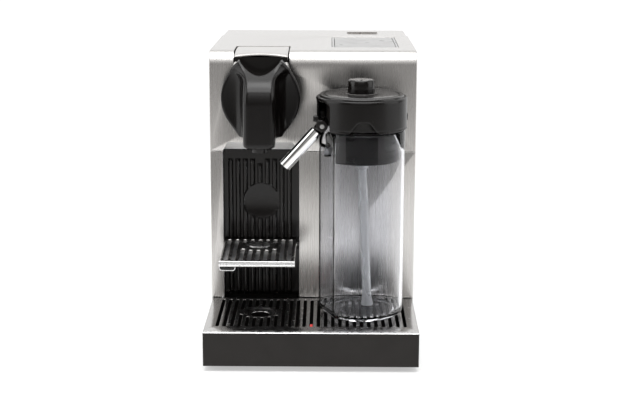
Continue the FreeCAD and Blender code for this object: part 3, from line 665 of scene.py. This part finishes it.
def lid_field(p):
    x, y, z = p[:, 0], p[:, 1], p[:, 2]
    out = sd_oval(p, LX, JY, 41.2, 43.0)
    band = smax(smax(out, z - 239.0, 2.6), 209.5 - z, 1.0)
    inner = smax(sd_oval(p, LX, JY, 38.9, 40.7), z - 235.0, 1.0)
    band = smax(band, -inner, 0.6)
    ax = np.abs(x - 45.7)
    arch = 208.6 + 11.0 * (1 - sm(ax, 3.0, 15.5))
    band = smax(band, np.where(y < JY, (arch - z) * 0.75, -9.0), 1.3)
    win = sd_box(p, (-10, -134.0, 200.0), (15.6, -93.5, 235.6), 5.0)
    band = smax(band, -win, 1.0)
    groove = np.abs(z - 211.8) - 0.35
    band = smax(band, -np.maximum(groove, -(out + 0.45)), 0.3)
    # Round hole at the rear for the steam nozzle.
    return smax(band, -np.maximum(np.hypot(x - 45.0, z - 222.0) - 6.5, -82.0 - y), 0.3)


P, F = nets(lid_field, (3.0, -143.4, 209.0), (86.0, -56.6, 239.4), 0.9)
add("lid_band", P, F, LID_BLACK, "carafe", ("lid_body",), 55)


def oval_stack(spec, n=96, cx=LX, cy=JY):
    return loft([[(cx + a * math.cos(2 * math.pi * k / n), cy + b * math.sin(2 * math.pi * k / n), z) for k in range(n)] for a, b, z in spec])


# Dark core of the lid behind its window, with the steam channel inside.
def core_field(p):
    x, y, z = p[:, 0], p[:, 1], p[:, 2]
    core = smax(smax(sd_oval(p, LX, JY, 31.5, 35.0), z - 235.2, 0.8), 210.0 - z, 0.8)
    core = smax(core, -np.maximum(np.hypot(x - 45.0, z - 222.0) - 6.5, -82.0 - y), 0.3)
    return smax(core, -np.maximum(np.hypot(x - 9.0, z - 213.0) - 7.0, y + 92.0), 0.3)


P, F = nets(core_field, (12.0, -136.2, 209.0), (77.0, -63.8, 236.2), 1.0)
add("lid_core", P, F, BLACK, "carafe", (), 40)
# Glossy top disc with a ring groove.
v, f = oval_stack([(37.4, 41.0, 238.6), (38.0, 41.6, 239.0), (38.0, 41.6, 239.9), (37.5, 41.1, 240.6), (36.6, 40.2, 240.8), (34.6, 38.2, 240.8), (34.2, 37.8, 240.5),
                   (34.0, 37.6, 239.9), (33.2, 36.8, 239.9), (33.0, 36.6, 240.5), (32.5, 36.1, 240.85), (24, 27, 240.95), (14.5, 15.2, 240.9), (14.0, 14.4, 240.7), (0.6, 0.6, 240.7)])
add("lid_disc", v, f, LID_TOP, "carafe", ("lid_top",), 50)

# Plug of the lid, seen through the container's wall.
def clipx(pts, x0):
    return [(max(x, x0), y, z) for x, y, z in pts]


spec = [(32.9, 35.5, 181.2), (33.6, 36.2, 181.9), (33.7, 36.3, 183.0), (33.7, 36.3, 205.0), (33.7, 36.3, 209.4)]
rings = [clipx([(JX + a * math.cos(2 * math.pi * k / 160), JY + b * math.sin(2 * math.pi * k / 160), z) for k in range(160)], 20.6) for a, b, z in spec]
v, f = loft(rings)
add("lid_plug_skin", v, f, FLANK, "carafe", ("lid_plug",), 40)
# Seal between the plug and the container's rim.
spec = [(33.8, 36.4, 206.2), (36.2, 38.8, 206.4), (36.4, 39.0, 207.2), (36.2, 38.8, 208.0), (33.8, 36.4, 208.2)]
rings = [clipx([(JX + a * math.cos(2 * math.pi * k / 128), JY + b * math.sin(2 * math.pi * k / 128), z) for k in range(128)], 22.0) for a, b, z in spec]
v, f = loft(rings, (False, False))
add("lid_seal_skin", v, f, RUBBER, "carafe", ("lid_seal",), 40)


def plug_strip(x0, x1, z0, z1, d, n=24):
    """Thin raised strip on the front of the plug."""
    rings = []
    for x in np.linspace(x0, x1, n):
        t = math.acos(max(-1, min(1, (x - JX) / 33.7)))
        c, s = math.cos(t), -math.sin(t)
        e = 0.25
        rings.append([(JX + (33.7 + q) * c, JY + (36.3 + q) * s, z) for q, z in ((-0.3, z0), (d - e * 0.5, z0), (d, z0 + e), (d, z1 - e), (d - e * 0.5, z1), (-0.3, z1))])
    return loft(rings)


v, f = plug_strip(30.6, 58.2, 182.2, 209.0, 0.5)
add("lid_plug_front", v, f, PLUG_DARK, "carafe", (), 40)
# Three short lines at the right of the plug.
for i, z in enumerate((187.4, 192.5, 197.7)):
    v, f = plug_strip(65.0, 76.6, z - 0.4, z + 0.4, 0.18)
    add("lid_plug_line_%d" % (i + 1), v, f, PLUG_DARK, "carafe", (), 40)

# Froth knob: black skirt with a grip, grey top and a bright ring under it.
prof = [(3.9, 226.2), (3.9, 241.3), (11.6, 241.3), (12.15, 241.7), (12.3, 242.6), (12.2, 250.5), (12.0, 252.3), (11.5, 253.2), (10.9, 253.5), (10.7, 253.2)]
v, f = lathe(prof, 96, ((44, -100, 0), (0, 0, 1)))
add("froth_knob_body", v, f, GLOSS, "knob", ("froth_knob",), 40)
prof = [(0.3, 253.6), (5, 253.75), (9.2, 253.75), (10.4, 253.55), (10.75, 253.1), (10.75, 252.6)]
v, f = lathe(prof, 96, ((44, -100, 0), (0, 0, 1)))
add("froth_knob_top", v, f, KNOB_TOP, "knob", (), 40)
me = plate_mesh("knob_mark", rrect(43.2, 44.8, -110.2, -104.0, 0.7), [], 253.55, 254.0, 0.1)
add_mesh("froth_knob_mark", me, GLOSS, "knob")
prof = [(12.7, 240.6), (14.0, 240.7), (14.3, 241.0), (14.1, 241.35), (13.4, 241.5), (12.75, 241.2)]
v, f = lathe(prof, 96, ((44, -100, 0), (0, 0, 1)), True)
add("lid_knob_ring", v, f, KNOB_TOP, "carafe", (), 60)

# Suction tube: frosted, with a collar at its top and a flared foot.
a, b = Vector((45.3, -98, 181.0)), Vector((51.5, -98, 43.0))
d = (b - a).normalized()
L = (b - a).length
prof = [(5.9, 0), (5.9, 8.4), (5.4, 9.4), (4.3, 9.8), (4.15, 12), (4.15, L - 12), (4.3, L - 8), (5.3, L - 2.5), (5.5, L), (3.9, L), (3.3, L - 6), (3.0, L - 14), (3.0, 8), (3.0, 0)]
v, f = lathe(prof, 40, (a, d), True)
add("suction_tube_skin", v, f, FROST, "carafe", ("suction_tube",), 45)

# Froth nozzle under the hub: black cone with a clear tip.
prof = [(3.3, 204.6), (3.5, 204.0), (3.5, 202.6), (2.6, 194.0), (2.3, 191.6), (2.1, 189.4), (0.2, 189.4)]
v, f = lathe(prof, 40, ((15.4, -104.5, 0), (0, 0, 1)))
add("froth_nozzle_cone", v, f, GLOSS, "carafe", ("froth_nozzle",), 40)
prof = [(3.0, 191.4), (3.2, 190.8), (3.2, 186.4), (2.9, 186.0), (2.4, 186.0), (2.3, 191.4)]
v, f = lathe(prof, 40, ((15.4, -104.5, 0), (0, 0, 1)), True)
add("froth_nozzle_tip", v, f, FROST, "carafe", (), 40)
prof = [(2.2, 186.2), (3.1, 186.0), (3.2, 185.4), (3.0, 184.2), (1.2, 184.0), (1.2, 186.2)]
v, f = lathe(prof, 40, ((15.4, -104.5, 0), (0, 0, 1)), True)
add("froth_nozzle_end", v, f, GLOSS, "carafe", (), 40)

# Release buttons at both sides of the lid.
for nm, body, x0, x1, y0, y1, rep in (("right", "release_right", 79.5, 86.2, -104, -92, "release_button_right"), ("left", "release_left", 4.8, 11.5, -88, -78, "release_button_left")):
    me = plate_mesh("btn", rrect(y0, y1, 216.5, 224, 2.4), [], x0, x1, 0.9, "yz", 4)
    add_mesh("release_button_%s_cap" % nm, me, BLACK, body, (rep,))

# ------------------------------------------------------------------ milk spout
ang = math.radians(48)
sp_o, sp_d = Vector((9, -106, 213)), Vector((-math.cos(ang), 0, -math.sin(ang)))
prof = [(5.2, 7.4), (5.7, 7.7), (5.7, 50.0), (5.55, 50.6), (5.2, 50.8), (4.75, 50.5), (4.6, 49.8), (4.6, 12), (4.6, 7.4)]
v, f = lathe(prof, 72, (sp_o, sp_d), True)
add("spout_tube_skin", v, f, CHROME, "spout", ("spout_tube",), 45)


def hub_field(p):
    q = smin(sd_rod(p, (9, -112.9, 213), (9, -99.2, 213), 4.6) - 0.7, sd_rod(p, tuple(sp_o), tuple(sp_o + sp_d * 6.0), 4.0) - 0.5, 1.6)
    tab = sd_box(p, (0.9, -109.0, 216.0), (6.4, -103.0, 221.4), 1.2)
    q = smin(q, tab, 1.5)
    return q


P, F = nets(hub_field, (-1.5, -114.5, 203.5), (15.5, -97.5, 222), 0.6)
add("spout_hub_skin", P, F, GLOSS, "spout", ("spout_hub",), 55)
# ------------------------------------------------------------------ steel casing
Z0, BR, ROLL = 179.8, 13.0, 0.9
L1 = 273.98 - BR - Z0
L2 = L1 + math.pi * BR / 2


def sheet(name, outer, holes, m, rep, thick=1.2, left=True, right=True):
    """Bent sheet: outline in (x, run), the run going up the front, round the bend and back along the top; outer sides rolled in."""
    me = plate_mesh(name, outer, holes, -thick, 0, 0.2)
    lo = min(p[1] for p in outer)
    hi = max(p[1] for p in outer)
    xs = [97 - ROLL + ROLL * math.sin(math.radians(a)) for a in (0, 12, 24, 36, 48, 60, 72, 81)]
    bisect(me, 0, [v for v in xs if right] + [-v for v in xs if left])
    if hi > L1:
        bisect(me, 1, [L1 + (L2 - L1) * k / 16 for k in range(17)])
    for v in me.vertices:
        x, s, n = v.co / MM
        e = abs(x) - (97 - ROLL)
        if e > 0 and ((x > 0 and right) or (x < 0 and left)):
            n -= ROLL - math.sqrt(max(0.0, ROLL * ROLL - min(e, ROLL) ** 2))
        if s <= L1:
            y, z = -55 - n, Z0 + s
        elif s <= L2:
            a = (s - L1) / BR
            y, z = -55 + BR - (BR + n) * math.cos(a), 273.98 - BR + (BR + n) * math.sin(a)
        else:
            y, z = -55 + BR + s - L2, 273.98 + n
        v.co = Vector((x, y, z)) * MM
    o = add_mesh(name, me, m, "machine", rep, 30)
    return o


def run(y):
    return L2 + y - (-55 + BR)


end = run(103.4)
sc = 188.0 - Z0
cover_out = [(-97, 0), (-85.0, 0), (-80.0, sc), (-19.5, sc), (-12.7, 0), (97, 0), (97, end), (-97, end)]
ring = [(-48 + 34.5 * math.cos(t), 233 - Z0 + 34.5 * math.sin(t)) for t in np.linspace(0, 2 * math.pi, 121)[:-1]]
key = []
for x, s in ring:
    if not (abs(x + 48) < 26 and s > 250 - Z0):
        key.append((x, s))
i0 = max(range(len(key)), key=lambda k: math.hypot(key[k][0] - key[k - 1][0], key[k][1] - key[k - 1][1]))
key = key[i0:] + key[:i0]
if key[0][0] > -48:
    key = key[::-1]
k0, k1 = key[0], key[-1]
key = key + [(-22, k1[1]), (-22, run(-8)), (-74, run(-8)), (-74, k0[1])]
win = rrect(17.5, 82, run(-17), run(88), 2.0)
steam = [(45 + 6.2 * math.cos(t), 222 - Z0 + 6.2 * math.sin(t)) for t in np.linspace(0, 2 * math.pi, 33)[:-1]]
sheet("cover_skin", cover_out, [key, win, steam], STEEL, ("top_front_cover",))
sheet("lower_left_skin", [(-97, 36.8 - Z0), (-85.0, 36.8 - Z0), (-85.0, 179.2 - Z0), (-97, 179.2 - Z0)], [], STEEL, (), right=False)
sheet("lower_right_skin", [(-12.7, 36.8 - Z0), (97, 36.8 - Z0), (97, 179.2 - Z0), (-12.7, 179.2 - Z0)], [], STEEL, (), left=False)
# Flanges that line the sides of the brew bay.
for nm, x0, x1, rep in (("left", -86.2, -85.0, "lower_front_panel_left"), ("right", -12.7, -11.5, "lower_front_panel_right")):
    me = plate_mesh("flange", rrect(-54.6, -44, 36.8, 179.2, 0.3), [], x0, x1, 0.12, "yz")
    add_mesh("bay_flange_%s" % nm, me, STEEL_SIDE, "machine", (rep,))
# Side panels, following the cover at a small gap.
arc = [(-55 + BR - (BR - ROLL) * math.cos(a), 274 - BR + (BR - ROLL) * math.sin(a)) for a in np.linspace(0, math.pi / 2, 13)]
side = [(103.4, 5), (103.4, 274 - ROLL - 0.15)] + [(y, z - 0.15) for y, z in arc[::-1]] + [(-55 + ROLL, 36.8), (-52.5, 36.8), (-52.5, 5)]
for nm, x0, x1 in (("left", -97, -95.8), ("right", 95.8, 97)):
    me = plate_mesh("side", side, [], x0, x1, 0.15, "yz")
    add_mesh("%s_side_skin" % nm, me, STEEL_SIDE, "machine", ("%s_side_panel" % nm,))

# Touch panel with a fine line round its face.
me = plate_mesh("touch", rrect(17.9, 81.6, -16.6, 87.6, 1.8), [rrect(20.0, 79.5, -14.5, 85.5, 1.2), ], 271.2, 273.6, 0.25)
add_mesh("touch_frame", me, GREY, "machine")
me = plate_mesh("touch", rrect(20.5, 79.0, -14.0, 85.0, 1.0), [], 271.2, 273.55, 0.25)
add_mesh("touch_face", me, PANEL, "machine", ("touch_panel",))

# ------------------------------------------------------------------ drip grid and tray
DX, DY, DR = -48.0, -103.0, 15.6
slots = []
for i in range(-13, 14):
    x = 6.5 * i
    y0, y1 = -148.0, -63.0
    off = min(abs(x - 1.5 - DX), abs(x + 1.5 - DX)) if abs(x - DX) > 1.5 else 0
    if off < DR + 1.4:
        h = math.sqrt((DR + 1.6) ** 2 - off ** 2)
        slots.append(rrect(x - 1.5, x + 1.5, y0, DY - h, 1.45))
        slots.append(rrect(x - 1.5, x + 1.5, DY + h, y1, 1.45))
    else:
        slots.append(rrect(x - 1.5, x + 1.5, y0, y1, 1.45))
slots.append(oval_pts(DX, DY, DR, DR, 72))
me = plate_mesh("grid", rrect(-95.6, 95.6, -161.6, -56.4, [0.4, 0.4, 2, 2]), slots, 35.5, 36.4, 0.3, "xy", 3)
grid_o = add_mesh("drip_grid_skin", me, GRID, "tray", ("drip_grid",))
# Front edge of the grid, rolled down to the tray.
rings = []
for x in np.linspace(-95.6, 95.6, 49):
    rings.append([(x, -161.6 - 4.1 * math.sin(a), 34.0 + 2.4 * math.cos(a)) for a in np.linspace(0, math.pi / 2, 9)] + [(x, -164.9, 34.0), (x, -161.6, 35.5)])
v, f = loft(rings)
add("drip_grid_edge", v, f, EDGE, "tray", (), 40)
# Sunk dish under the coffee outlet.
prof = [(15.6, 36.35), (15.2, 36.5), (14.4, 36.5), (13.9, 36.2), (12.4, 35.0), (9.6, 34.4), (8.6, 34.3), (8.4, 33.9), (9.4, 33.7), (12.8, 34.3), (15.6, 35.4)]
v, f = lathe(prof, 72, ((DX, DY, 0), (0, 0, 1)), True)
add("drip_grid_dish", v, f, GRID, "tray", (), 40)
cad_bevel("drip_tray", 1.3, 3, 50)

# ------------------------------------------------------------------ small edges of the other outer pieces
for node, wd in (("water_tank", 1.0), ("tank_lid", 0.8), ("tank_plinth", 0.8), ("base_plate", 0.4), ("rubber_feet", 0.6), ("coffee_outlet", 0.5), ("cord_gland", 0.5), ("tray_float", 0.5),
                 ("brew_housing", 0.6), ("capsule_bin", 0.6), ("nozzle_collar", 0.4), ("case_screws", 0.3), ("rear_bulkhead", 0.4)):
    cad_bevel(node, wd, 2, 45)

# ------------------------------------------------------------------ floor, light and camera
def stage_plane(name, size, loc, rot, m):
    me = bpy.data.meshes.new(name)
    w, h = size[0] / 2, size[1] / 2
    me.from_pydata([(-w, -h, 0), (w, -h, 0), (w, h, 0), (-w, h, 0)], [], [(0, 1, 2, 3)])
    o = bpy.data.objects.new(name, me)
    scene.collection.objects.link(o)
    o.location = loc
    o.rotation_euler = rot
    me.materials.append(m)
    return o


def glow(name, color, strength):
    m = bpy.data.materials.new(name)
    m.use_nodes = True
    nt = m.node_tree
    nt.nodes.clear()
    e = nt.nodes.new("ShaderNodeEmission")
    e.inputs["Color"].default_value = (*color, 1)
    e.inputs["Strength"].default_value = strength
    out = nt.nodes.new("ShaderNodeOutputMaterial")
    nt.links.new(e.outputs[0], out.inputs[0])
    return m


floor_m = mat("stage_floor", (0.46, 0.46, 0.46), 0.6)
floor_m.node_tree.nodes["Principled BSDF"].inputs["Emission Color"].default_value = (1, 1, 1, 1)
floor_m.node_tree.nodes["Principled BSDF"].inputs["Emission Strength"].default_value = 0.45
stage_plane("stage_floor", (4.0, 1.3), (0, 0.1, 0), (0, 0, 0), floor_m)
stage_plane("stage_floor_far", (6.0, 1.6), (0, 1.549, 0), (0, 0, 0), glow("stage_far", (1, 1, 1), 1.06))
stage_plane("stage_backdrop", (8.0, 3.6), (0, 2.3, 1.8), (math.pi / 2, 0, 0), glow("stage_back", (1, 1, 1), 1.1))
# Room floor in front of the lit floor, darker with distance.
for i, (y0, y1, e) in enumerate(((-0.95, -0.55, 1.12), (-1.25, -0.95, 0.82), (-2.6, -1.25, 0.42))):
    stage_plane("stage_front_%d" % (i + 1), (4.0, y1 - y0), (0, (y0 + y1) / 2, -0.001), (0, 0, 0), glow("stage_front_%d" % (i + 1), (1, 0.985, 0.97), e))


def area(name, loc, target, size, power, color=(1, 1, 1)):
    li = bpy.data.lights.new(name, "AREA")
    li.shape = "RECTANGLE"
    li.size, li.size_y = size
    li.energy = power
    li.color = color
    o = bpy.data.objects.new(name, li)
    scene.collection.objects.link(o)
    o.location = loc
    d = Vector(target) - Vector(loc)
    o.rotation_euler = d.to_track_quat("-Z", "Y").to_euler()
    return o


area("key_left", (-1.4, -0.3, 0.75), (0, -0.05, 0.15), (1.2, 1.5), 12)
area("key_right", (1.4, -0.25, 0.75), (0, -0.05, 0.15), (1.2, 1.5), 10)
area("top", (0, -0.5, 1.5), (0, -0.05, 0.2), (1.5, 0.9), 20)
for nm, z, h, pw in (("a", 0.5, 0.46, 0.8), ("b", 0.98, 0.5, 1.5), ("c", 1.59, 0.72, 3.8), ("d", 2.58, 1.25, 10.0)):
    area("front_card_" + nm, (0, -2.2, z), (0, -0.05, 0.27), (2.2, h), pw)
area("overhead", (0, 0.05, 1.4), (0, 0.0, 0.1), (1.6, 1.0), 12)

w = bpy.data.worlds.new("studio")
scene.world = w
w.use_nodes = True
w.node_tree.nodes["Background"].inputs["Color"].default_value = (0.15, 0.146, 0.142, 1)
w.node_tree.nodes["Background"].inputs["Strength"].default_value = 1.0

cam = bpy.data.cameras.new("camera")
cam.sensor_fit = "HORIZONTAL"
cam.sensor_width = 36.0
cam.lens = 36.0 * 1346.0 / 630.0
cam.clip_start, cam.clip_end = 0.05, 20
co = bpy.data.objects.new("camera", cam)
scene.collection.objects.link(co)
yaw, pitch, roll = math.radians(-0.594), math.radians(12.203), math.radians(0.151)
fwd = Vector((math.sin(yaw) * math.cos(pitch), math.cos(yaw) * math.cos(pitch), -math.sin(pitch)))
right = Vector((math.cos(yaw), -math.sin(yaw), 0))
up = right.cross(fwd)
r = right * math.cos(roll) + up * math.sin(roll)
u = -right * math.sin(roll) + up * math.cos(roll)
mw = Matrix.Identity(4)
for i in range(3):
    mw[i][0], mw[i][1], mw[i][2] = r[i], u[i], -fwd[i]
mw.translation = Vector((15.2, -1305.2, 403.1)) * MM
co.matrix_world = mw
scene.camera = co
scene.view_settings.view_transform = "Standard"
scene.view_settings.look = "None"
scene.view_settings.exposure = 0.0
